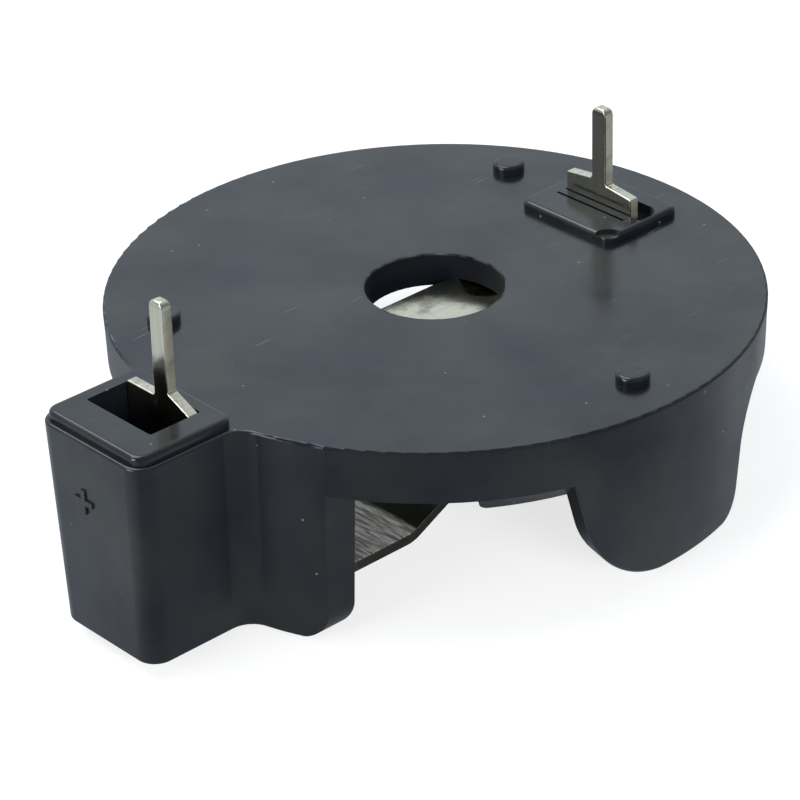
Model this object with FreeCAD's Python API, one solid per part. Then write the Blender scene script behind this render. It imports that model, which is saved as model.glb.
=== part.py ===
import FreeCAD, Part
import math
import os

# Coin cell holder for a board, modelled with its board side up and its pins along +Z.
# The origin is on the cell's axis, in the face that looks at the board. +X points from the
# block of the positive contact to the pin of the negative one. Lengths are in millimetres.

# Cell
CELL_DIAMETER = 20.0
CELL_THICKNESS = 3.2
CELL_CLEARANCE = 0.3

# Housing: plate, rim and walls
WALL = 1.2
FLOOR = 1.25
RIM_DEPTH = 1.88
SKIRT_DEPTH = 7.65
DRAFT = math.tan(math.radians(1.7))
EDGE_RADIUS = 0.1
HOLE_RADIUS = 2.45

# Housing: wall beside the block
END_WALL_HALF_WIDTH = 5.5
END_WALL_CORNER = 1.15

# Housing: the two tabs that hold the cell at its sides
TAB_DEPTH = 6.32
TAB_HALF_ANGLE_IN = 20.2
TAB_HALF_ANGLE_OUT = 23.3
TAB_SIDE_DRAFT_IN = 17.0
TAB_SIDE_DRAFT_OUT = 9.5
TAB_CORNER_IN = 3.4
TAB_CORNER_OUT = 1.2
TAB_ROOT_RADIUS = 2.4
TAB_EDGE_RADIUS = 0.12
STEP_END_ANGLE = 36.0
STEP_DEPTH = 0.9
STEP_SETBACK = 0.18
STEP_SLOPE = 45.0
STEP_OVERLAP = 0.1
STEP_CORNER = 0.55

# Housing: block of the positive contact
BLOCK_REACH = 3.9
BLOCK_HALF_WIDTH = 2.65
BLOCK_CORNER = 0.75
BLOCK_ROOT_RADIUS = 0.9
LIP_INSET = 0.2
LIP_OVERLAP = 0.32
LIP_HEIGHT = 0.35
LIP_CORNER = 0.45
LIP_EDGE_RADIUS = 0.18
WELL_LENGTH = 2.05
WELL_DEPTH = 5.6
WELL_CORNER = 0.1

# Housing: pad round the negative pin
PAD_INNER = 1.77
PAD_OUTER = 1.85
PAD_HALF_WIDTH = 2.25
PAD_CORNER = 0.4
SLOT_WIDTH = 1.05
SLOT_RUN_OUT = 0.45
SLOT_CORNER = 0.1
SLOT_END_RADIUS = 0.55
GROOVE_OFFSET = 0.36
GROOVE_WIDTH = 0.12
GROOVE_DEPTH = 0.1
GATE_RADIUS = 0.5
GATE_DEPTH = 0.12
CHANNEL_DEPTH = 0.3

# Housing: standoffs on the board face
NUB_RADIUS = 0.58
NUB_HEIGHT = 0.35
NUB_EDGE_RADIUS = 0.14
NUB_CIRCLE = 9.5
NUB_ANGLES = (30.0, 150.0, 270.0)

# Housing: plus sign on the block's end
PLUS_SIZE = 0.9
PLUS_STROKE = 0.2
PLUS_RELIEF = 0.07
PLUS_ROOT = 0.4
PLUS_DEPTH = 2.3
PLUS_OFFSET = 0.4

# Contacts: stamped sheet and pins
SHEET = 0.4
BEND_RADIUS = 0.5
CONTACT_WIDTH = 3.2
CONTACT_FIT = 0.05
PIN_WIDTH = 0.7
PIN_LENGTH = 4.05
PIN_TIP_RADIUS = 0.3
PIN_TIP_COINING = 0.13
PIN_ROOT_RADIUS = 0.12
SHOULDER_CORNER = 0.08
PIN_PITCH = 20.32

# Negative contact
NEGATIVE_PIN_X = 8.29
NEGATIVE_SHOULDER_LOW = 0.75
NEGATIVE_SHOULDER_HIGH = 0.88
NEGATIVE_SHOULDER_DROP = 0.15
STRIP_WIDTH = 2.9
STRIP_REACH = 3.6
STRIP_CORNER = 0.5
DIMPLE_X = 2.6
DIMPLE_Y = 0.2
DIMPLE_RADIUS = 1.1
DIMPLE_DROP = 0.25

# Positive contact
LEG_OFFSET = 0.2
POSITIVE_SHOULDER_FLAT = 0.1
POSITIVE_SHOULDER_ROOT = 0.4
POSITIVE_SHOULDER_DROP = 0.45
ARM_HEIGHT_ABOVE_END = 0.7
ARM_HALF_WIDTH = 3.5
ARM_FLARE_LENGTH = 1.3
ARM_FLARE_RADIUS = 0.6
ARM_FLAT_END = 4.5
ARM_SLOPE = 26.5
ARM_BEND_RADIUS = 1.0
ARM_TAPER_START = 2.4
ARM_TIP_HALF_WIDTH = 2.2
ARM_TIP_CORNER = 0.7
CONTACT_PRELOAD = 0.45
TOE_LENGTH = 1.7
TOE_SLOPE = 30.0
TOE_BEND_RADIUS = 0.9

# Helper sizes that don't shape the part
MARGIN = 1.0
LEVEL_TOLERANCE = 1e-4
RADIAL_SCALES = (0.5, 1.2)

# Places worked out from the sizes above
INNER_RADIUS = CELL_DIAMETER / 2 + CELL_CLEARANCE
OUTER_RADIUS = INNER_RADIUS + WALL
BLOCK_END = OUTER_RADIUS + BLOCK_REACH
PAD_TOP = LIP_HEIGHT
POSITIVE_PIN_X = NEGATIVE_PIN_X - PIN_PITCH
STRIP_TOP = CHANNEL_DEPTH - FLOOR
STRIP_MIDDLE = STRIP_TOP - SHEET / 2
CELL_SEAT = STRIP_TOP - SHEET - DIMPLE_DROP
CELL_FACE = CELL_SEAT - CELL_THICKNESS
ARM_BOTTOM = ARM_HEIGHT_ABOVE_END - SKIRT_DEPTH
ARM_MIDDLE = ARM_BOTTOM + SHEET / 2
ARM_TOP = ARM_BOTTOM + SHEET


def vec(x, y, z):
    return FreeCAD.Vector(x, y, z)


def box(x_low, x_high, y_low, y_high, z_low, z_high):
    return Part.makeBox(x_high - x_low, y_high - y_low, z_high - z_low, vec(x_low, y_low, z_low))


def unit(start, end):
    length = math.hypot(end[0] - start[0], end[1] - start[1])
    return (end[0] - start[0]) / length, (end[1] - start[1]) / length


def corner_arc(before, corner, after, radius):
    """Three points of the arc that rounds a corner: its start, its middle and its end."""
    to_before = unit(corner, before)
    to_after = unit(corner, after)
    cosine = to_before[0] * to_after[0] + to_before[1] * to_after[1]
    half = math.acos(max(-1.0, min(1.0, cosine))) / 2
    cut = radius / math.tan(half)
    bisector = unit((0, 0), (to_before[0] + to_after[0], to_before[1] + to_after[1]))
    depth = radius / math.sin(half) - radius
    start = (corner[0] + cut * to_before[0], corner[1] + cut * to_before[1])
    middle = (corner[0] + depth * bisector[0], corner[1] + depth * bisector[1])
    end = (corner[0] + cut * to_after[0], corner[1] + cut * to_after[1])
    return start, middle, end


def rounded_wire(corners, place):
    """Closed wire through corners (a, b, radius), each rounded, put in space by place(a, b)."""
    pieces = []
    for i, (a, b, radius) in enumerate(corners):
        before = corners[i - 1][:2]
        after = corners[(i + 1) % len(corners)][:2]
        pieces.append(corner_arc(before, (a, b), after, radius) if radius else ((a, b),))
    edges = []
    for i, piece in enumerate(pieces):
        if len(piece) == 3:
            edges.append(Part.Arc(*[place(*point) for point in piece]).toShape())
        start = place(*piece[-1])
        end = place(*pieces[(i + 1) % len(pieces)][0])
        edges.append(Part.makeLine(start, end))
    return Part.Wire(edges)


def in_plan(z):
    return lambda a, b: vec(a, b, z)


def in_front_view(x):
    return lambda a, b: vec(x, a, b)


def in_side_view(y):
    return lambda a, b: vec(a, y, b)


def prism(corners, place, direction):
    return Part.Face(rounded_wire(corners, place)).extrude(direction)


def rectangle(a_low, a_high, b_low, b_high, radius):
    return [
        (a_low, b_low, radius),
        (a_high, b_low, radius),
        (a_high, b_high, radius),
        (a_low, b_high, radius),
    ]


def edges_where(shape, test):
    return [edge for edge in shape.Edges if test(edge)]


def level_edges(shape, z):
    """Edges that lie wholly at one height."""
    def level(edge):
        bounds = edge.BoundBox
        return max(abs(bounds.ZMin - z), abs(bounds.ZMax - z)) < LEVEL_TOLERANCE

    return edges_where(shape, level)


def raised_patch(corners, height, edge_radius):
    """A flat patch on the board face with a rounded top edge. It starts a little inside the plate."""
    solid = prism(corners, in_plan(-FLOOR / 2), vec(0, 0, height + FLOOR / 2))
    return solid.makeFillet(edge_radius, level_edges(solid, height))


# Housing: a drafted disc that runs into a drafted block

def tapered_box(x_low, x_high, half_width, depth):
    """Box below z = 0 with its low X end and its two sides drafted."""
    inset = depth * DRAFT
    corners = []
    for z, a in ((0, 0), (-depth, inset)):
        corners.append([
            vec(x_low + a, a - half_width, z),
            vec(x_high, a - half_width, z),
            vec(x_high, half_width - a, z),
            vec(x_low + a, half_width - a, z),
        ])
    top, bottom = corners
    outlines = [top, bottom]
    for i in range(len(top)):
        after = (i + 1) % len(top)
        outlines.append([top[i], top[after], bottom[after], bottom[i]])
    faces = [Part.Face(Part.makePolygon(outline + outline[:1])) for outline in outlines]
    solid = Part.Solid(Part.Shell(faces))
    return solid if solid.Volume > 0 else solid.reversed()


def upright_edges(shape, x_low, x_high):
    """Edges from the top to the bottom between two places along X."""
    def upright(edge):
        bounds = edge.BoundBox
        return bounds.XMin > x_low and bounds.XMax < x_high and bounds.ZLength > SKIRT_DEPTH / 2

    return edges_where(shape, upright)


def drafted_body():
    """Disc and block as one drafted solid down to the block's end."""
    low_radius = OUTER_RADIUS - SKIRT_DEPTH * DRAFT
    disc = Part.makeCone(low_radius, OUTER_RADIUS, SKIRT_DEPTH, vec(0, 0, -SKIRT_DEPTH))
    block = tapered_box(-BLOCK_END, -OUTER_RADIUS / 2, BLOCK_HALF_WIDTH, SKIRT_DEPTH)
    block = block.makeFillet(BLOCK_CORNER, upright_edges(block, -BLOCK_END - MARGIN, -OUTER_RADIUS - MARGIN))
    solid = disc.fuse(block).removeSplitter()
    solid = solid.makeFillet(BLOCK_ROOT_RADIUS, upright_edges(solid, -OUTER_RADIUS, -OUTER_RADIUS / 2))
    return solid.makeFillet(EDGE_RADIUS, level_edges(solid, 0) + level_edges(solid, -SKIRT_DEPTH))


def kept_below_rim():
    """Region of the body that goes on below the rim: the block and the wall beside it."""
    top = END_WALL_HALF_WIDTH
    bottom = END_WALL_HALF_WIDTH - SKIRT_DEPTH * DRAFT
    corners = [
        (-top, 0, 0),
        (-bottom, -SKIRT_DEPTH, END_WALL_CORNER),
        (bottom, -SKIRT_DEPTH, END_WALL_CORNER),
        (top, 0, 0),
    ]
    return prism(corners, in_front_view(-BLOCK_END - MARGIN), vec(BLOCK_END + MARGIN, 0, 0))


def wall_ring(radius, z_low, slope=DRAFT):
    """Ring between the cell's pocket and an outer face that narrows downwards from its radius at z = 0."""
    outer = Part.makeCone(radius + z_low * slope, radius, -z_low, vec(0, 0, z_low))
    return outer.cut(Part.makeCylinder(INNER_RADIUS, -z_low, vec(0, 0, z_low)))


def radial_prism(corners):
    """Solid whose sides all point at the axis, from an outline drawn in the plane y = -OUTER_RADIUS."""
    wires = []
    for scale in RADIAL_SCALES:
        def place(a, b, scale=scale):
            return vec(a * scale, -OUTER_RADIUS * scale, b)
        wires.append(rounded_wire(corners, place))
    return Part.makeLoft(wires, True, True)


def tab_corners():
    below_rim = TAB_DEPTH - RIM_DEPTH
    inner_top = -OUTER_RADIUS * math.tan(math.radians(TAB_HALF_ANGLE_IN))
    outer_top = OUTER_RADIUS * math.tan(math.radians(TAB_HALF_ANGLE_OUT))
    inner_low = inner_top + below_rim * math.tan(math.radians(TAB_SIDE_DRAFT_IN))
    outer_low = outer_top - below_rim * math.tan(math.radians(TAB_SIDE_DRAFT_OUT))
    return [
        (inner_top, -FLOOR, 0),
        (inner_top, -RIM_DEPTH, 0),
        (inner_low, -TAB_DEPTH, TAB_CORNER_IN),
        (outer_low, -TAB_DEPTH, TAB_CORNER_OUT),
        (outer_top, -RIM_DEPTH, TAB_ROOT_RADIUS),
        (outer_top + 2 * TAB_ROOT_RADIUS, -RIM_DEPTH, 0),
        (outer_top + 2 * TAB_ROOT_RADIUS, -FLOOR, 0),
    ]


def tab():
    """Tab at the cell's side, with its outer edges rounded below the rim."""
    solid = wall_ring(OUTER_RADIUS, -SKIRT_DEPTH).common(radial_prism(tab_corners()))

    def on_outline(edge):
        bounds = edge.BoundBox
        below_rim = bounds.ZMax < LEVEL_TOLERANCE - RIM_DEPTH and bounds.ZMin < -RIM_DEPTH - LEVEL_TOLERANCE
        outside = min(math.hypot(v.X, v.Y) for v in edge.Vertexes) > INNER_RADIUS + WALL / 2
        return below_rim and outside

    return solid.makeFillet(TAB_EDGE_RADIUS, edges_where(solid, on_outline))


def tab_step():
    """Sloped step under the rim, from the tab towards the block."""
    slope = math.tan(math.radians(STEP_SLOPE))
    inner = -OUTER_RADIUS * math.tan(math.radians(STEP_END_ANGLE))
    outer = -OUTER_RADIUS * math.tan(math.radians(TAB_HALF_ANGLE_IN / 2))
    top = STEP_OVERLAP - RIM_DEPTH
    bottom = -RIM_DEPTH - STEP_DEPTH
    corners = [(inner, top, 0), (inner, bottom, STEP_CORNER), (outer, bottom, 0), (outer, top, 0)]
    radius = OUTER_RADIUS - STEP_SETBACK + RIM_DEPTH * slope
    return wall_ring(radius, bottom - MARGIN, slope).common(radial_prism(corners))


def both_sides(shape):
    return [shape, shape.mirror(vec(0, 0, 0), vec(0, 1, 0))]


def block_lip():
    corners = rectangle(-BLOCK_END + LIP_INSET, -OUTER_RADIUS + LIP_OVERLAP,
                        -BLOCK_HALF_WIDTH + LIP_INSET, BLOCK_HALF_WIDTH - LIP_INSET, LIP_CORNER)
    return raised_patch(corners, LIP_HEIGHT, LIP_EDGE_RADIUS)


def pad():
    corners = rectangle(NEGATIVE_PIN_X - PAD_INNER - SHEET / 2, NEGATIVE_PIN_X + PAD_OUTER - SHEET / 2,
                        -PAD_HALF_WIDTH, PAD_HALF_WIDTH, PAD_CORNER)
    return raised_patch(corners, PAD_TOP, LIP_EDGE_RADIUS)


def nubs():
    solids = []
    for angle in NUB_ANGLES:
        turn = math.radians(angle)
        place = vec(NUB_CIRCLE * math.cos(turn), NUB_CIRCLE * math.sin(turn), -FLOOR / 2)
        nub = Part.makeCylinder(NUB_RADIUS, NUB_HEIGHT + FLOOR / 2, place)
        solids.append(nub.makeFillet(NUB_EDGE_RADIUS, level_edges(nub, NUB_HEIGHT)))
    return solids


def plus_sign():
    """Raised plus on the block's end face, which leans with the draft."""
    x_low = -BLOCK_END + PLUS_DEPTH * DRAFT - PLUS_RELIEF
    x_high = x_low + PLUS_ROOT
    solids = []
    for half_y, half_z in ((PLUS_SIZE / 2, PLUS_STROKE / 2), (PLUS_STROKE / 2, PLUS_SIZE / 2)):
        solids.append(box(x_low, x_high, PLUS_OFFSET - half_y, PLUS_OFFSET + half_y,
                          -PLUS_DEPTH - half_z, -PLUS_DEPTH + half_z))
    return solids


def well():
    """Open top of the block, off the middle by the leg's offset, and the way out for the arm below."""
    face = POSITIVE_PIN_X + SHEET / 2
    y_low = LEG_OFFSET - CONTACT_WIDTH / 2 - CONTACT_FIT
    y_high = LEG_OFFSET + CONTACT_WIDTH / 2 + CONTACT_FIT
    corners = rectangle(face - WELL_LENGTH, face + CONTACT_FIT, y_low, y_high, WELL_CORNER)
    opening = prism(corners, in_plan(-WELL_DEPTH), vec(0, 0, WELL_DEPTH + LIP_HEIGHT + MARGIN))
    leg_low_x = POSITIVE_PIN_X - SHEET / 2 - CONTACT_FIT
    leg_slot = box(leg_low_x, face + CONTACT_FIT, y_low, y_high, -SKIRT_DEPTH - MARGIN, -WELL_DEPTH)
    arm_slot = box(leg_low_x, -INNER_RADIUS / 2, y_low, y_high, -SKIRT_DEPTH - MARGIN, ARM_TOP)
    relief = box(face, face + BEND_RADIUS, y_low, y_high, ARM_TOP, ARM_TOP + BEND_RADIUS)
    return [opening, leg_slot, arm_slot, relief]


def pin_slot():
    """Slot of the negative pin, with the open run-out at one end and a thin groove beside it."""
    face = NEGATIVE_PIN_X - SHEET / 2
    high = CONTACT_WIDTH / 2 + CONTACT_FIT
    corners = [
        (face - CONTACT_FIT, -high - SLOT_RUN_OUT, SLOT_CORNER),
        (face + SLOT_WIDTH, -high - SLOT_RUN_OUT, SLOT_END_RADIUS),
        (face + SLOT_WIDTH, high, SLOT_CORNER),
        (face - CONTACT_FIT, high, SLOT_CORNER),
    ]
    slot = prism(corners, in_plan(-FLOOR - MARGIN), vec(0, 0, FLOOR + PAD_TOP + 2 * MARGIN))
    groove_x = face - GROOVE_OFFSET
    groove = box(groove_x - GROOVE_WIDTH, groove_x, -high, high, PAD_TOP - GROOVE_DEPTH, PAD_TOP + MARGIN)
    relief = box(face - BEND_RADIUS, face, -high, high, STRIP_TOP, STRIP_TOP + BEND_RADIUS)
    return [slot, groove, relief]


def strip_channel():
    high = STRIP_WIDTH / 2 + CONTACT_FIT
    return box(-STRIP_REACH - CONTACT_FIT, NEGATIVE_PIN_X, -high, high, -FLOOR - MARGIN, STRIP_TOP)


def gate_mark():
    """Shallow round mark where the moulding's feed was cut off, at a corner of the pad."""
    corner_x = NEGATIVE_PIN_X - PAD_INNER - SHEET / 2
    place = vec(corner_x, -PAD_HALF_WIDTH, PAD_TOP - GATE_DEPTH)
    return Part.makeCylinder(GATE_RADIUS + PAD_CORNER / 2, MARGIN, place)


def centre_hole():
    return Part.makeCylinder(HOLE_RADIUS, FLOOR + 2 * MARGIN, vec(0, 0, -FLOOR - MARGIN))


def housing():
    body = drafted_body()
    reach = BLOCK_END + MARGIN
    plate = body.common(box(-reach, reach, -reach, reach, -RIM_DEPTH, MARGIN))
    skirt = body.common(kept_below_rim())
    shell = plate.fuse(skirt)
    pocket = Part.makeCylinder(INNER_RADIUS, SKIRT_DEPTH + MARGIN, vec(0, 0, -FLOOR - SKIRT_DEPTH - MARGIN))
    shell = shell.cut(pocket)
    added = both_sides(tab()) + both_sides(tab_step()) + nubs() + plus_sign() + [block_lip(), pad()]
    shell = shell.fuse(added)
    cuts = well() + pin_slot() + [centre_hole(), strip_channel(), gate_mark()]
    return shell.cut(cuts).removeSplitter()


# Contacts: a bent section in side view, trimmed to the outline of its leg and its arm

def offset_path(path, distance):
    """The path (a, b, radius) moved to its left by a distance, with its bend radii adjusted."""
    moved = []
    for i, (a, b, radius) in enumerate(path):
        incoming = unit(path[i - 1], (a, b)) if i > 0 else unit((a, b), path[1])
        outgoing = unit((a, b), path[i + 1]) if i < len(path) - 1 else incoming
        along = 1 + incoming[0] * outgoing[0] + incoming[1] * outgoing[1]
        normal = (-(incoming[1] + outgoing[1]) / along, (incoming[0] + outgoing[0]) / along)
        turn = incoming[0] * outgoing[1] - incoming[1] * outgoing[0]
        if radius:
            radius -= distance * math.copysign(1, turn)
        moved.append((a + distance * normal[0], b + distance * normal[1], radius))
    return moved


def bent_sheet(path, half_width):
    """Strip of sheet metal along a path in side view. The path's first end is a coined pin tip."""
    left = offset_path(path, SHEET / 2)
    right = offset_path(path, -SHEET / 2)
    left[0] = (left[0][0], left[0][1], PIN_TIP_COINING)
    right[0] = (right[0][0], right[0][1], PIN_TIP_COINING)
    corners = left + right[::-1]
    return prism(corners, in_side_view(-half_width), vec(0, 2 * half_width, 0))


def leg_prism(x, y_low, y_high, z_low, roots, ends):
    """Outline of a pin with its two shoulders, seen along X. Roots and ends are the shoulders' heights."""
    half = PIN_WIDTH / 2
    corners = [
        (y_low, z_low, 0),
        (y_high, z_low, 0),
        (y_high, ends[1], SHOULDER_CORNER),
        (half, roots[1], PIN_ROOT_RADIUS),
        (half, PIN_LENGTH, PIN_TIP_RADIUS),
        (-half, PIN_LENGTH, PIN_TIP_RADIUS),
        (-half, roots[0], PIN_ROOT_RADIUS),
        (y_low, ends[0], SHOULDER_CORNER),
    ]
    return prism(corners, in_front_view(x - BEND_RADIUS - SHEET), vec(2 * (BEND_RADIUS + SHEET), 0, 0))


def negative_contact():
    half = CONTACT_WIDTH / 2
    strip_half = STRIP_WIDTH / 2
    path = [
        (NEGATIVE_PIN_X, PIN_LENGTH, 0),
        (NEGATIVE_PIN_X, STRIP_MIDDLE, BEND_RADIUS),
        (-STRIP_REACH, STRIP_MIDDLE, 0),
    ]
    sheet = bent_sheet(path, half)
    roots = (PAD_TOP + NEGATIVE_SHOULDER_LOW, PAD_TOP + NEGATIVE_SHOULDER_HIGH)
    ends = tuple(root - NEGATIVE_SHOULDER_DROP for root in roots)
    leg = leg_prism(NEGATIVE_PIN_X, -half, half, STRIP_TOP + SHEET, roots, ends)
    x_high = NEGATIVE_PIN_X + SHEET
    strip = prism([
        (-STRIP_REACH, -strip_half, STRIP_CORNER),
        (x_high, -strip_half, 0),
        (x_high, strip_half, 0),
        (-STRIP_REACH, strip_half, STRIP_CORNER),
    ], in_plan(STRIP_TOP - 2 * SHEET), vec(0, 0, 3 * SHEET))
    trimmed = sheet.common(leg.fuse(strip))
    sphere_radius = (DIMPLE_RADIUS ** 2 + DIMPLE_DROP ** 2) / (2 * DIMPLE_DROP)
    centre = vec(DIMPLE_X, DIMPLE_Y, STRIP_TOP - SHEET - DIMPLE_DROP + sphere_radius)
    bump = Part.makeSphere(sphere_radius, centre)
    hollow = Part.makeSphere(sphere_radius - SHEET, centre)
    below = box(DIMPLE_X - DIMPLE_RADIUS, DIMPLE_X + DIMPLE_RADIUS, -strip_half, strip_half,
                STRIP_TOP - 2 * SHEET, STRIP_TOP)
    return trimmed.fuse(bump.common(below)).cut(hollow).removeSplitter()


def positive_contact():
    half = CONTACT_WIDTH / 2
    slope = math.tan(math.radians(ARM_SLOPE))
    contact_middle = CELL_FACE + CONTACT_PRELOAD - SHEET / 2
    contact_x = -ARM_FLAT_END + (contact_middle - ARM_MIDDLE) / slope
    toe_x = contact_x + TOE_LENGTH * math.cos(math.radians(TOE_SLOPE))
    toe_z = contact_middle - TOE_LENGTH * math.sin(math.radians(TOE_SLOPE))
    path = [
        (POSITIVE_PIN_X, PIN_LENGTH, 0),
        (POSITIVE_PIN_X, ARM_MIDDLE, BEND_RADIUS),
        (-ARM_FLAT_END, ARM_MIDDLE, ARM_BEND_RADIUS),
        (contact_x, contact_middle, TOE_BEND_RADIUS),
        (toe_x, toe_z, 0),
    ]
    sheet = bent_sheet(path, ARM_HALF_WIDTH)
    root = LIP_HEIGHT + POSITIVE_SHOULDER_ROOT
    flat = LIP_HEIGHT + POSITIVE_SHOULDER_FLAT
    ends = (root - POSITIVE_SHOULDER_DROP, flat)
    y_low = LEG_OFFSET - half
    y_high = LEG_OFFSET + half
    leg = leg_prism(POSITIVE_PIN_X, y_low, y_high, ARM_TOP, (root, flat), ends)
    neck_end = -INNER_RADIUS + WALL
    flare_end = neck_end + ARM_FLARE_LENGTH
    arm = prism([
        (POSITIVE_PIN_X - BEND_RADIUS, y_low, 0),
        (neck_end, y_low, ARM_FLARE_RADIUS),
        (flare_end, -ARM_HALF_WIDTH, ARM_FLARE_RADIUS),
        (-ARM_TAPER_START, -ARM_HALF_WIDTH, 0),
        (toe_x, -ARM_TIP_HALF_WIDTH, ARM_TIP_CORNER),
        (toe_x, ARM_TIP_HALF_WIDTH, ARM_TIP_CORNER),
        (-ARM_TAPER_START, ARM_HALF_WIDTH, 0),
        (flare_end, ARM_HALF_WIDTH, ARM_FLARE_RADIUS),
        (neck_end, y_high, ARM_FLARE_RADIUS),
        (POSITIVE_PIN_X - BEND_RADIUS, y_high, 0),
    ], in_plan(ARM_BOTTOM - SHEET), vec(0, 0, contact_middle + SHEET - ARM_BOTTOM + SHEET))
    arm_only = arm.cut(box(-BLOCK_END, POSITIVE_PIN_X + BEND_RADIUS, -MARGIN - half, MARGIN + 2 * half,
                           ARM_TOP, MARGIN))
    return sheet.common(leg.fuse(arm_only)).removeSplitter()


NODES = {
    "housing": housing(),
    "positive_contact": positive_contact(),
    "negative_contact": negative_contact(),
}

os.makedirs("parts", exist_ok=True)
for name, shape in NODES.items():
    shape.exportStep(f"parts/{name}.step")
    bounds = shape.BoundBox
    print(name, "solids", len(shape.Solids), "valid", shape.isValid(), "volume", round(shape.Volume, 2),
          "box", [round(v, 2) for v in (bounds.XMin, bounds.XMax, bounds.YMin, bounds.YMax,
                                        bounds.ZMin, bounds.ZMax)])
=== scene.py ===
# %% [markdown]
# A coin cell holder for a circuit board, seen with its board side up. It has three real pieces: one
# moulded black housing and two stamped, nickel-plated contacts. All three arrive as exact solids, so
# this lesson gives them soft edges, real surfaces, a table to rest on, light and a camera.
#
# The first cell loads the solids. They are in metres, and +Z is the side that looks at the board.

# %% Load the solids
import math

import bmesh
import bpy
from mathutils import Matrix, Vector


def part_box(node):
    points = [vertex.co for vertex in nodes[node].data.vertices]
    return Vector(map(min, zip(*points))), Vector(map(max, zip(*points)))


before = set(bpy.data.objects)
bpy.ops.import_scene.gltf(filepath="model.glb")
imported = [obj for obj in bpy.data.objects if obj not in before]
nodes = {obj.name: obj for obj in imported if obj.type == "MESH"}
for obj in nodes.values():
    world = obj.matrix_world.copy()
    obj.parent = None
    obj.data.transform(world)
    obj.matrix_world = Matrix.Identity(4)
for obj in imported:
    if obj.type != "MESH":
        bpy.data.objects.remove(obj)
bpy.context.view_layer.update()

MM = 0.001
for name, piece in nodes.items():
    low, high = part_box(name)
    print(name, "spans", [round(v / MM, 2) for v in high - low], "mm")

# %% [markdown]
# A mould and a press tool never leave a knife-sharp edge. The moulding's solid already has its rounds,
# with exact directions of its surface, so it stays as it comes. The sheared strips need a small
# rolled-over edge of their own. That thin curve is what catches the light, so without it a model looks
# cut from paper.
#
# A bevel could be modelled by hand on every edge. A modifier stack is kinder to a solid that must not
# change: Weld closes the mesh, a planar Decimate turns its loose triangles back into whole faces, and
# Bevel rounds only the edges that turn by more than a set angle.

# %% Round the edges of the strips
contacts = ("positive_contact", "negative_contact")
rolled_edge = 0.05   # mm
sharp_turn = 50      # degrees


def round_edges(piece):
    weld = piece.modifiers.new("close the mesh", "WELD")
    weld.merge_threshold = 0.001 * MM
    whole = piece.modifiers.new("whole faces", "DECIMATE")
    whole.decimate_type = "DISSOLVE"
    whole.angle_limit = math.radians(0.05)
    bevel = piece.modifiers.new("tool corner", "BEVEL")
    bevel.width = rolled_edge * MM
    bevel.segments = 3
    bevel.limit_method = "ANGLE"
    bevel.angle_limit = math.radians(sharp_turn)
    bevel.use_clamp_overlap = True


for name in contacts:
    round_edges(nodes[name])
    evaluated = nodes[name].evaluated_get(bpy.context.evaluated_depsgraph_get())
    print(name, "has", len(evaluated.data.polygons), "faces with its edges rounded")

# %% [markdown]
# Rounded edges need smooth shading, but a flat face next to them must stay flat, or broad triangles of
# false shading creep over it. Two steps do both. A small node group shades everything smooth and keeps
# an edge sharp where its faces turn by more than an angle. Then Weighted Normal lets the large faces
# decide the direction at each corner, so that only the narrow bevel bends the light.

# %% Shade smooth up to an angle
def smooth_by_angle(angle):
    tree = bpy.data.node_groups.new("smooth by angle", "GeometryNodeTree")
    tree.interface.new_socket("Geometry", in_out="INPUT", socket_type="NodeSocketGeometry")
    tree.interface.new_socket("Geometry", in_out="OUTPUT", socket_type="NodeSocketGeometry")
    start = tree.nodes.new("NodeGroupInput")
    end = tree.nodes.new("NodeGroupOutput")
    turn = tree.nodes.new("GeometryNodeInputMeshEdgeAngle")
    small = tree.nodes.new("FunctionNodeCompare")
    small.operation = "LESS_EQUAL"
    small.inputs["B"].default_value = math.radians(angle)
    faces = tree.nodes.new("GeometryNodeSetShadeSmooth")
    faces.domain = "FACE"
    edges = tree.nodes.new("GeometryNodeSetShadeSmooth")
    edges.domain = "EDGE"
    tree.links.new(start.outputs[0], faces.inputs["Geometry"])
    tree.links.new(faces.outputs[0], edges.inputs["Geometry"])
    tree.links.new(turn.outputs["Unsigned Angle"], small.inputs["A"])
    tree.links.new(small.outputs[0], edges.inputs["Shade Smooth"])
    tree.links.new(edges.outputs[0], end.inputs[0])
    return tree


smooth = smooth_by_angle(sharp_turn)
for name in contacts:
    shading = nodes[name].modifiers.new("shade smooth", "NODES")
    shading.node_group = smooth
    flats = nodes[name].modifiers.new("flat faces stay flat", "WEIGHTED_NORMAL")
    flats.mode = "FACE_AREA"
    flats.weight = 100
    flats.keep_sharp = True
    print(name, "is shaded smooth where it turns by less than", sharp_turn, "degrees")

# %% [markdown]
# Three small tools serve every material. One turns a sRGB hex colour, as a paint chart gives it, into
# the linear numbers that the shader needs. The next adds a node with its settings and its links in
# one line, so that a material reads from top to bottom like a recipe. The last opens a new material
# and hands over its places measured in millimetres.

# %% Helpers for materials
def linear(hex_colour):
    values = [int(hex_colour[i:i + 2], 16) / 255 for i in (0, 2, 4)]
    return [v / 12.92 if v <= 0.04045 else ((v + 0.055) / 1.055) ** 2.4 for v in values] + [1.0]


def add(tree, kind, inputs=None, stops=None, **settings):
    made = tree.nodes.new("ShaderNode" + kind)
    for name, value in settings.items():
        setattr(made, name, value)
    for name, value in (inputs or {}).items():
        if isinstance(value, bpy.types.NodeSocket):
            tree.links.new(value, made.inputs[name])
        else:
            made.inputs[name].default_value = value
    for i, (position, colour) in enumerate(stops or []):
        band = made.color_ramp.elements
        element = band[i] if i < 2 else band.new(position)
        element.position = position
        element.color = linear(colour)
    return made


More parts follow.
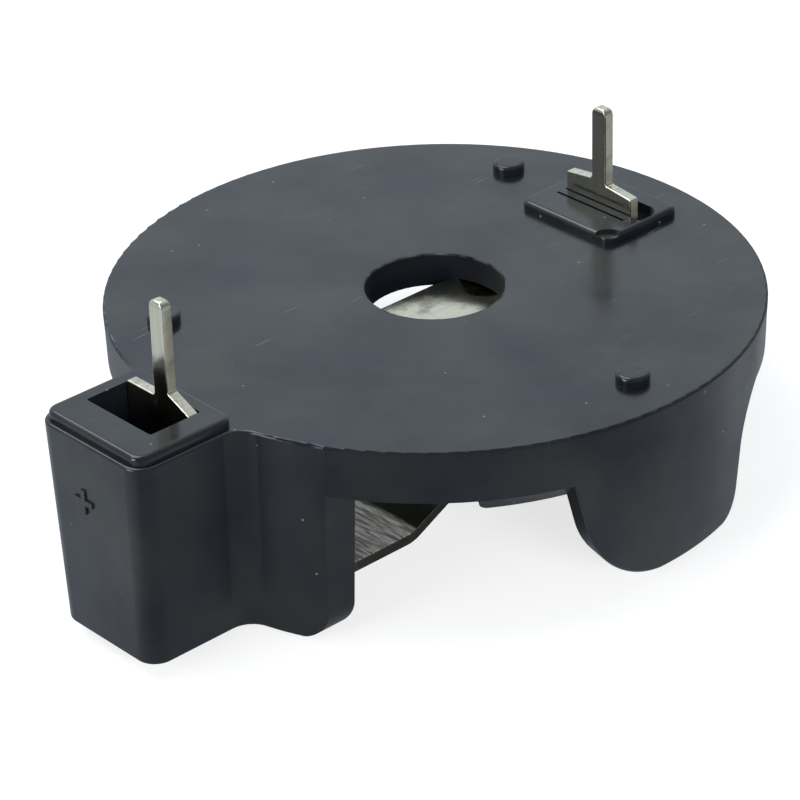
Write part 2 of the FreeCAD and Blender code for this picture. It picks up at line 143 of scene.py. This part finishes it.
def new_material(name):
    material = bpy.data.materials.new(name)
    material.use_nodes = True
    tree = material.node_tree
    tree.nodes.clear()
    place = add(tree, "TexCoord").outputs["Object"]
    in_mm = add(tree, "Mapping", {"Vector": place, "Scale": (1 / MM, 1 / MM, 1 / MM)})
    return material, tree, in_mm.outputs[0]


print("black nylon in linear light:", [round(v, 4) for v in linear("10131A")[:3]])

# %% [markdown]
# The housing is black nylon, injection-moulded against a smooth tool and worn by handling. To the eye
# it is a near-black satin with very little colour of its own: nearly all that it shows is the room,
# mirrored and a little blurred. So its base colour is almost black, and the character sits in how
# smooth each patch is. The melt leaves cloudy patches that lean blue or green and shine a little more
# or less, fingers leave long smears, and there are a few hairline scratches and specks of pale dust.
#
# Every pattern is noise at its real size in millimetres. First come two answers that several patterns
# need: how far a point is from the axis of the hole, and whether it lies on the board face.

# %% Black nylon: where a point lies
hollow, peak = 0.35, 0.65   # nearly all of a noise lies between these


def distance_from_axis(tree, in_mm):
    flat = add(tree, "VectorMath", {0: in_mm, 1: (1, 1, 0)}, operation="MULTIPLY")
    return add(tree, "VectorMath", {0: flat.outputs[0]}, operation="LENGTH").outputs["Value"]


def on_board_face(tree):
    upward = add(tree, "SeparateXYZ", {"Vector": add(tree, "TexCoord").outputs["Normal"]})
    facing = add(tree, "MapRange", {"Value": upward.outputs["Z"], "From Min": 0.9, "From Max": 0.99})
    return facing.outputs[0]


print("noise is read between", hollow, "and", peak)

# %% [markdown]
# A scratch is a noise stretched 40 times along its length and cut off near its peak. Scratches come in
# groups on the board face only, where the part slides on the bench. A speck of dust is a small dot in
# some of the cells of a Voronoi pattern. The edge of the hole gets a painted highlight: a pale ring,
# broken into patches, for the light that its rounded edge would catch.

# %% Black nylon: scratches, dust and the painted highlight on the hole's edge
scratch_width, scratch_stretch, scratch_cut = 0.05, 40, 0.8
dust_spacing, dust_radius, dust_share = 1.1, 0.055, 0.8
hole_edge, highlight_ring_width = 2.45, 0.06


def thin_scratches(tree, in_mm, turn):
    along = 1 / (scratch_stretch * scratch_width)
    lay = add(tree, "Mapping", {"Vector": in_mm, "Rotation": (0, 0, math.radians(turn)),
                                "Scale": (along, 1 / scratch_width, along)})
    streaks = add(tree, "TexNoise", {"Vector": lay.outputs[0], "Scale": 1.0, "Detail": 0.0})
    cut = add(tree, "MapRange", {"Value": streaks.outputs["Fac"], "From Min": scratch_cut,
                                 "From Max": scratch_cut + 0.03})
    return cut.outputs[0]


def grouped_scratches(tree, in_mm, board_face):
    crossed = add(tree, "Math", {0: thin_scratches(tree, in_mm, 24), 1: thin_scratches(tree, in_mm, -40)},
                  operation="MAXIMUM")
    groups = add(tree, "TexNoise", {"Vector": in_mm, "Scale": 1 / 3.0, "Detail": 1.0})
    rubbed = add(tree, "MapRange", {"Value": groups.outputs["Fac"], "From Min": 0.56, "From Max": 0.68})
    grouped = add(tree, "Math", {0: crossed.outputs[0], 1: rubbed.outputs[0]}, operation="MULTIPLY")
    return add(tree, "Math", {0: grouped.outputs[0], 1: board_face}, operation="MULTIPLY").outputs[0]


def dust_specks(tree, in_mm):
    cells = add(tree, "TexVoronoi", {"Vector": in_mm, "Scale": 1 / dust_spacing, "Randomness": 1.0})
    dot = add(tree, "MapRange", {"Value": cells.outputs["Distance"], "From Min": dust_radius / dust_spacing,
                                 "From Max": 0.5 * dust_radius / dust_spacing})
    parts = add(tree, "SeparateColor", {"Color": cells.outputs["Color"]})
    chosen = add(tree, "Math", {0: parts.outputs["Red"], 1: dust_share}, operation="LESS_THAN")
    return add(tree, "Math", {0: dot.outputs[0], 1: chosen.outputs[0]}, operation="MULTIPLY").outputs[0]


# The pale ring on the hole's edge is a painted highlight, broken into patches.
def hole_edge_painted_highlight(tree, in_mm):
    away = add(tree, "Math", {0: distance_from_axis(tree, in_mm), 1: hole_edge}, operation="SUBTRACT")
    off = add(tree, "Math", {0: away.outputs[0]}, operation="ABSOLUTE")
    ring = add(tree, "MapRange", {"Value": off.outputs[0], "From Min": highlight_ring_width,
                                  "From Max": 0.4 * highlight_ring_width})
    height = add(tree, "SeparateXYZ", {"Vector": in_mm})
    edge = add(tree, "Math", {0: height.outputs["Z"], 1: -highlight_ring_width}, operation="GREATER_THAN")
    highlight_patches = add(tree, "TexNoise", {"Vector": in_mm, "Scale": 1 / 0.5, "Detail": 3.0})
    patchy = add(tree, "MapRange", {"Value": highlight_patches.outputs["Fac"], "From Min": hollow, "From Max": peak,
                                    "To Max": 0.6})
    both = add(tree, "Math", {0: ring.outputs[0], 1: edge.outputs[0]}, operation="MULTIPLY")
    return add(tree, "Math", {0: both.outputs[0], 1: patchy.outputs[0]}, operation="MULTIPLY").outputs[0]


print("a scratch is", scratch_width, "mm wide and", scratch_stretch * scratch_width, "mm long")

# %% [markdown]
# Colour and gloss. The clouds are 4 mm across. Each mark lightens the body halfway to a pale grey at
# the most; the ring on the hole's edge is a painted highlight. The board face and all that stands on it
# come off the polished half of the tool, smeared in wipes 7 mm long and 1.2 mm wide. The walls below it
# come off a rougher half. The wall of the hole is rougher still, and its shine is cut, which paints
# shade inside the hole.

# %% Black nylon: colour and gloss
hole_wall_end = 2.5
wall_roughness, hole_wall_dulling_and_shade = 0.12, 0.4


def nylon_colour(tree, in_mm, clouds, board_face):
    body = add(tree, "ValToRGB", {"Fac": clouds}, stops=[(hollow, "10131A"), (peak, "1A1D1D")])
    loose = add(tree, "Math", {0: grouped_scratches(tree, in_mm, board_face), 1: dust_specks(tree, in_mm)},
                operation="MAXIMUM")
    # Scratches and dust are real marks; the ring on the hole's edge is a painted highlight.
    pale = add(tree, "Math", {0: loose.outputs[0], 1: hole_edge_painted_highlight(tree, in_mm)}, operation="MAXIMUM")
    half = add(tree, "Math", {0: pale.outputs[0], 1: 0.5}, operation="MULTIPLY")
    colour = add(tree, "Mix", {0: half.outputs[0], 6: body.outputs[0], 7: linear("8B9094")},
                 data_type="RGBA")
    return colour.outputs[2]


def nylon_gloss(tree, in_mm, board_face):
    wiped = add(tree, "Mapping", {"Vector": in_mm, "Rotation": (0, 0, math.radians(12)),
                                  "Scale": (1 / 7.0, 1 / 1.2, 1 / 7.0)})
    smears = add(tree, "TexNoise", {"Vector": wiped.outputs[0], "Scale": 1.0, "Detail": 4.0,
                                    "Roughness": 0.6})
    polish = add(tree, "MapRange", {"Value": smears.outputs["Fac"], "From Min": hollow, "From Max": 0.7,
                                    "To Min": 0.15, "To Max": 0.27})
    in_hole = add(tree, "Math", {0: distance_from_axis(tree, in_mm), 1: hole_wall_end},
                  operation="LESS_THAN")
    hole_wall_rough_and_shaded = add(tree, "Math", {0: in_hole.outputs[0], 1: hole_wall_dulling_and_shade}, operation="MULTIPLY")
    height = add(tree, "SeparateXYZ", {"Vector": in_mm})
    below = add(tree, "MapRange", {"Value": height.outputs["Z"], "From Min": 0.0, "From Max": -0.1,
                                   "To Max": wall_roughness})
    walls = add(tree, "MapRange", {"Value": board_face, "To Min": below.outputs[0], "To Max": 0.0})
    inner = add(tree, "Math", {0: polish.outputs[0], 1: hole_wall_rough_and_shaded.outputs[0]}, operation="ADD")
    rough = add(tree, "Math", {0: inner.outputs[0], 1: walls.outputs[0]}, operation="ADD")
    patches = add(tree, "TexNoise", {"Vector": in_mm, "Scale": 1 / 5.0, "Detail": 4.0, "Roughness": 0.6})
    gloss = add(tree, "MapRange", {"Value": patches.outputs["Fac"], "From Min": hollow, "From Max": peak,
                                   "To Min": 0.45, "To Max": 0.68})
    # Cutting the shine on the hole's wall paints shade inside the hole.
    shine = add(tree, "Math", {0: gloss.outputs[0], 1: hole_wall_rough_and_shaded.outputs[0]}, operation="SUBTRACT")
    return rough.outputs[0], shine.outputs[0]


print("the wall of the hole ends", hole_wall_end, "mm from its axis")

# %% [markdown]
# Relief, and the whole material. As the melt cools, the face sinks in waves of about 2 mm and 0.02 mm
# deep. The tool prints its own grain on it, drawn at 0.1 mm, coarser than the real 0.03 mm so that it
# shows. A thin film on the surface gives what it mirrors the same lean to blue or green as the body.

# %% Black nylon: relief and the material
def nylon_relief(tree, in_mm):
    sink = add(tree, "TexNoise", {"Vector": in_mm, "Scale": 1 / 2.2, "Detail": 2.0})
    waves = add(tree, "Bump", {"Height": sink.outputs["Fac"], "Strength": 0.5, "Distance": 0.02 * MM})
    grain = add(tree, "TexNoise", {"Vector": in_mm, "Scale": 1 / 0.1, "Detail": 2.0})
    relief = add(tree, "Bump", {"Height": grain.outputs["Fac"], "Normal": waves.outputs[0],
                                "Strength": 0.5, "Distance": 0.0015 * MM})
    return relief.outputs[0]


def moulded_black_nylon():
    material, tree, in_mm = new_material("nylon, black, injection-moulded")
    noise = add(tree, "TexNoise", {"Vector": in_mm, "Scale": 1 / 4.0, "Detail": 3.0, "Roughness": 0.55})
    clouds = noise.outputs["Fac"]
    board_face = on_board_face(tree)
    film = add(tree, "ValToRGB", {"Fac": clouds}, stops=[(hollow, "E9EDF8"), (peak, "F6FAF2")])
    rough, shine = nylon_gloss(tree, in_mm, board_face)
    shader = add(tree, "BsdfPrincipled", {"Base Color": nylon_colour(tree, in_mm, clouds, board_face),
                                          "Roughness": rough, "Specular IOR Level": shine,
                                          "Specular Tint": film.outputs[0], "IOR": 1.5,
                                          "Normal": nylon_relief(tree, in_mm)})
    add(tree, "OutputMaterial", {"Surface": shader.outputs[0]})
    return material


black_nylon = moulded_black_nylon()
nodes["housing"].material_slots[0].material = black_nylon
print("housing wears", black_nylon.name)

# %% [markdown]
# The contacts are phosphor bronze strip, bright nickel-plated, then stamped and bent. Nickel is a pale
# grey metal that leans a little to yellow. The rolling of the strip leaves fine lines along it, which
# stay parallel to its edges through every bend, and handling leaves dull, darker stains.
#
# Two places are duller. The edges that the press sheared face along Y: they are matt and grey at the
# pins. The flat of the arm, the lowest stretch of all, was dragged over the tool and is scuffed across
# its width. A matt place shows less of the bare metal's mirror, so it lowers Metallic.

# %% Nickel-plated strip: the matt places
pins_begin = -0.5
arm_flat = -6.52


def matt_places(tree, in_mm):
    normal = add(tree, "SeparateXYZ", {"Vector": add(tree, "TexCoord").outputs["Normal"]})
    height = add(tree, "SeparateXYZ", {"Vector": in_mm}).outputs["Z"]
    sideways = add(tree, "Math", {0: normal.outputs["Y"]}, operation="ABSOLUTE")
    cut_face = add(tree, "MapRange", {"Value": sideways.outputs[0], "From Min": 0.85, "From Max": 0.97,
                                      "To Max": 0.25})
    at_pins = add(tree, "Math", {0: height, 1: pins_begin}, operation="GREATER_THAN")
    sheared = add(tree, "Math", {0: cut_face.outputs[0], 1: at_pins.outputs[0]}, operation="MULTIPLY")
    low = add(tree, "MapRange", {"Value": height, "From Min": arm_flat + 0.1, "From Max": arm_flat})
    upward = add(tree, "Math", {0: normal.outputs["Z"], 1: 0.8}, operation="GREATER_THAN")
    top_of_flat = add(tree, "Math", {0: low.outputs[0], 1: upward.outputs[0]}, operation="MULTIPLY")
    across = add(tree, "Mapping", {"Vector": in_mm, "Scale": (9.0, 1.2, 0.5)})
    scuffs = add(tree, "TexNoise", {"Vector": across.outputs[0], "Scale": 1.0, "Detail": 4.0})
    patchy = add(tree, "MapRange", {"Value": scuffs.outputs["Fac"], "From Min": 0.4, "From Max": 0.62,
                                    "To Min": 0.3, "To Max": 0.9})
    scuffed = add(tree, "Math", {0: top_of_flat.outputs[0], 1: patchy.outputs[0]}, operation="MULTIPLY")
    matt = add(tree, "Math", {0: scuffed.outputs[0], 1: sheared.outputs[0]}, operation="MAXIMUM")
    return scuffed.outputs[0], matt.outputs[0]


print("the flat of the arm lies at", arm_flat, "mm")

# %% [markdown]
# Both strips are bent in the XZ plane, so a pattern that changes fast along Y and slowly along X and Z
# runs along the strip everywhere, with no unwrapping. The rolled lines are 0.06 mm apart, the stains
# 0.8 mm across, and the strip is dented by a few hundredths of a millimetre where it was bent.

# %% Nickel-plated strip: the material
def nickel_plated_strip():
    material, tree, in_mm = new_material("phosphor bronze strip, nickel-plated, rolled")
    along = add(tree, "Mapping", {"Vector": in_mm, "Scale": (0.3, 16.0, 0.3)})
    lines = add(tree, "TexNoise", {"Vector": along.outputs[0], "Scale": 1.0, "Detail": 3.0})
    stains = add(tree, "TexNoise", {"Vector": in_mm, "Scale": 1 / 0.8, "Detail": 5.0, "Roughness": 0.65})
    dull = add(tree, "MapRange", {"Value": stains.outputs["Fac"], "From Min": 0.5, "From Max": 0.8})
    tint = add(tree, "ValToRGB", {"Fac": dull.outputs[0]}, stops=[(0.0, "D3D0BC"), (1.0, "8D8A7C")])
    streak = add(tree, "MapRange", {"Value": lines.outputs["Fac"], "From Min": hollow, "From Max": peak,
                                    "To Min": 0.9, "To Max": 1.04})
    shade = add(tree, "Mix", {0: 1.0, 6: tint.outputs[0], 7: streak.outputs[0]}, data_type="RGBA",
                blend_type="MULTIPLY")
    scuffed, matt = matt_places(tree, in_mm)
    colour = add(tree, "Mix", {0: scuffed, 6: shade.outputs[2], 7: linear("DADDE0")}, data_type="RGBA")
    metal_share = add(tree, "Math", {0: 1.0, 1: matt}, operation="SUBTRACT")
    polished = add(tree, "MapRange", {"Value": dull.outputs[0], "To Min": 0.17, "To Max": 0.36})
    coarser = add(tree, "Math", {0: matt, 1: 0.4}, operation="MULTIPLY")
    rough = add(tree, "Math", {0: polished.outputs[0], 1: coarser.outputs[0]}, operation="ADD")
    rolled = add(tree, "Bump", {"Height": lines.outputs["Fac"], "Strength": 0.4, "Distance": 0.003 * MM})
    dents = add(tree, "TexNoise", {"Vector": in_mm, "Scale": 1 / 0.9, "Detail": 2.0})
    uneven = add(tree, "Bump", {"Height": dents.outputs["Fac"], "Normal": rolled.outputs[0],
                                "Strength": 0.4, "Distance": 0.025 * MM})
    shader = add(tree, "BsdfPrincipled", {"Base Color": colour.outputs[2], "Roughness": rough.outputs[0],
                                          "Metallic": metal_share.outputs[0],
                                          "Normal": uneven.outputs[0]})
    add(tree, "OutputMaterial", {"Surface": shader.outputs[0]})
    return material


nickel = nickel_plated_strip()
for name in contacts:
    nodes[name].material_slots[0].material = nickel
print("contacts wear", nickel.name)

# %% [markdown]
# The table. The block is deeper than the two side tabs, so the holder can't stand level: it rests on
# the block's inner edge and the two tabs. Where it touches is the lower hull of its side view, on the
# stretch below its middle. The table is laid through that stretch instead of tilting the object, since
# the solids stay where they are.

# %% Find how it rests
def lower_hull(points):
    hull = []
    for p in sorted(points):
        while len(hull) > 1 and ((hull[-1][0] - hull[-2][0]) * (p[1] - hull[-2][1])
                                 <= (hull[-1][1] - hull[-2][1]) * (p[0] - hull[-2][0])):
            hull.pop()
        hull.append(p)
    return hull


side_view = [(v.co.x, v.co.z) for v in nodes["housing"].data.vertices]
hull = lower_hull(side_view)
heel, toe = next(pair for pair in zip(hull, hull[1:]) if pair[0][0] < 0 < pair[1][0])
tilt = math.atan2(toe[1] - heel[1], toe[0] - heel[0])
print("rests on x =", round(heel[0] / MM, 2), "and", round(toe[0] / MM, 2), "mm, tilted",
      round(math.degrees(tilt), 2), "degrees")

# %% [markdown]
# A white light table carries it, with a sheet of paper on top. Its own glow keeps the ground white
# round the part and leaves only a soft shadow where it touches.
#
# Black satin mirrors whatever lies before it, so the paper that the part sees has its own painted
# pattern of light: grey ground, a bright corner behind the part at the left, a brighter strip at its
# right with dimmer ground beyond, a soft pool of light before the near tab, and a painted shadow beneath
# the part. That is what makes the block's end lighter than its side. Each border is a smooth step over a
# few millimetres.

# %% The light that the part sees on the paper
grey_ground, bright_corner, right_strip = 0.36, 0.42, 0.2
dim_beyond, tab_pool, painted_shadow_beneath = -0.3, 0.27, 0.12


def distance_from_pool(tree, in_mm):
    spot = add(tree, "VectorMath", {0: in_mm, 1: (-2.5, 12.5, 0)}, operation="ADD")
    oval = add(tree, "VectorMath", {0: spot.outputs[0], 1: (1 / 1.4, 1, 1)}, operation="MULTIPLY")
    return distance_from_axis(tree, oval.outputs[0])


# The paper glows in a painted pattern of light, with a painted shadow beneath the part.
def light_on_the_ground(tree, in_mm):
    parts = add(tree, "SeparateXYZ", {"Vector": in_mm})
    x = parts.outputs["X"]
    behind = add(tree, "Math", {0: x, 1: -0.5, 2: parts.outputs["Y"]}, operation="MULTIPLY_ADD")
    from_pool = distance_from_pool(tree, in_mm)
    from_middle = distance_from_axis(tree, in_mm)
    soft = []
    for place, start, end, low, high in ((behind.outputs[0], 3, 13, 0, bright_corner),
                                         (x, -4, -14, 0, 1),
                                         (x, 8, 12, 0, right_strip),
                                         (x, 13, 18, 0, dim_beyond),
                                         (from_pool, 9, 4, 0, tab_pool),
                                         (from_middle, 7, 10.5, painted_shadow_beneath, 1)):
        step = add(tree, "MapRange", {"Value": place, "From Min": start, "From Max": end, "To Min": low,
                                      "To Max": high}, interpolation_type="SMOOTHSTEP")
        soft.append(step.outputs[0])
    far, left, right, beyond, pool, outside = soft
    level = add(tree, "Math", {0: far, 1: left, 2: grey_ground}, operation="MULTIPLY_ADD").outputs[0]
    for more in (right, beyond, pool):
        level = add(tree, "Math", {0: level, 1: more}, operation="ADD").outputs[0]
    return add(tree, "Math", {0: level, 1: outside}, operation="MULTIPLY").outputs[0]


print("the bright corner reaches", round(grey_ground + bright_corner, 2), "of full white")

# %% [markdown]
# The Light Path node tells the camera's view of the paper from the part's. The sheet itself is one
# grid face, turned to the part's slope and laid just below where it touches.

# %% Lay the paper
sheet_half, air_gap = 600, 0.002


def paper():
    material, tree, in_mm = new_material("paper, matt white, on a light table")
    level = light_on_the_ground(tree, in_mm)
    seen_by_part = add(tree, "Emission", {"Color": linear("EBF4FF"), "Strength": level})
    matt = add(tree, "BsdfDiffuse", {"Color": linear("F2F2F2")})
    glow = add(tree, "Emission", {"Color": linear("FFFFFF"), "Strength": 1.2})
    lit = add(tree, "MixShader", {0: 0.4, 1: glow.outputs[0], 2: matt.outputs[0]})
    to_camera = add(tree, "LightPath").outputs["Is Camera Ray"]
    both = add(tree, "MixShader", {0: to_camera, 1: seen_by_part.outputs[0], 2: lit.outputs[0]})
    add(tree, "OutputMaterial", {"Surface": both.outputs[0]})
    return material


sheet = bmesh.new()
bmesh.ops.create_grid(sheet, x_segments=1, y_segments=1, size=sheet_half * MM)
lie = Matrix.Translation((heel[0], 0, heel[1] - air_gap * MM)) @ Matrix.Rotation(-tilt, 4, "Y")
bmesh.ops.transform(sheet, matrix=lie, verts=sheet.verts)
mesh = bpy.data.meshes.new("paper")
sheet.to_mesh(mesh)
sheet.free()
floor = bpy.data.objects.new("paper", mesh)
bpy.context.scene.collection.objects.link(floor)
floor.data.materials.append(paper())
print("paper slopes by", round(math.degrees(tilt), 2), "degrees")

# %% [markdown]
# The light is a pale, slightly cool studio. A black satin top seen at this angle is a weak mirror of
# what stands behind it, so the room glows behind the part and stays dim in front. A wide softbox hangs
# over it for the metal and a smaller one stands at the left. A third stands low in front and reaches
# under the rim to the scuffed flat of the arm. It is kept out of mirror-like reflections, as crossed
# polarising sheets keep a lamp out of them, so it draws no glint along the plate's edge.

# %% Light the room
def pale_room():
    world = bpy.data.worlds.new("pale studio")
    bpy.context.scene.world = world
    world.use_nodes = True
    tree = world.node_tree
    tree.nodes.clear()
    direction = add(tree, "TexCoord").outputs["Generated"]
    behind = add(tree, "VectorMath", {0: direction, 1: (0.3, 0.8, 0.5)}, operation="DOT_PRODUCT")
    level = add(tree, "MapRange", {"Value": behind.outputs["Value"], "From Min": 0.0, "From Max": 0.9,
                                   "To Min": 0.25, "To Max": 1.0}, interpolation_type="SMOOTHSTEP")
    around = add(tree, "Background", {"Color": linear("EBF4FF"), "Strength": level.outputs[0]})
    plain = add(tree, "Background", {"Color": linear("FFFFFF"), "Strength": 1.0})
    to_camera = add(tree, "LightPath").outputs["Is Camera Ray"]
    both = add(tree, "MixShader", {0: to_camera, 1: around.outputs[0], 2: plain.outputs[0]})
    add(tree, "OutputWorld", {"Surface": both.outputs[0]})


def softbox(name, place, size, power):
    light = bpy.data.lights.new(name, "AREA")
    light.shape = "SQUARE"
    light.size = size * MM
    light.energy = power
    box = bpy.data.objects.new(name, light)
    bpy.context.scene.collection.objects.link(box)
    box.location = [v * MM for v in place]
    box.rotation_euler = Vector(box.location).to_track_quat("Z", "Y").to_euler()
    return box


pale_room()
softbox("softbox overhead", place=(-60, 120, 260), size=220, power=0.55)
softbox("softbox left", place=(-240, 40, 60), size=120, power=0.3)
low_front = softbox("softbox front", place=(-60, -230, 70), size=90, power=0.55)
low_front.visible_glossy = False

# %% [markdown]
# The camera looks down on the part from its left: 42 degrees to the left of the long axis, 30 degrees
# above the plate and 115 mm away, with a long lens and a slight roll. Its three axes are built from
# those angles and put into one matrix.

# %% Place the camera
azimuth, elevation, roll = (math.radians(v) for v in (-42.0, 29.556, -1.673))
distance = 115.286
aim = Vector((-6.294, -5.022, 0)) * MM
back = Vector((math.sin(azimuth) * math.cos(elevation), -math.cos(azimuth) * math.cos(elevation),
               math.sin(elevation)))
right = Vector((math.cos(azimuth), math.sin(azimuth), 0))
up = back.cross(right)
camera_x = math.cos(roll) * right + math.sin(roll) * up
camera_y = math.cos(roll) * up - math.sin(roll) * right
lens = bpy.data.cameras.new("camera")
lens.lens = 158.75
lens.clip_start = 5 * MM
lens.clip_end = 5.0
camera = bpy.data.objects.new("camera", lens)
bpy.context.scene.collection.objects.link(camera)
axes = Matrix((camera_x, camera_y, back)).transposed().to_4x4()
camera.matrix_world = Matrix.Translation(aim + back * distance * MM) @ axes
bpy.context.scene.camera = camera
bpy.context.scene.view_settings.view_transform = "Standard"
print("camera at", [round(v / MM, 1) for v in camera.matrix_world.translation], "mm")
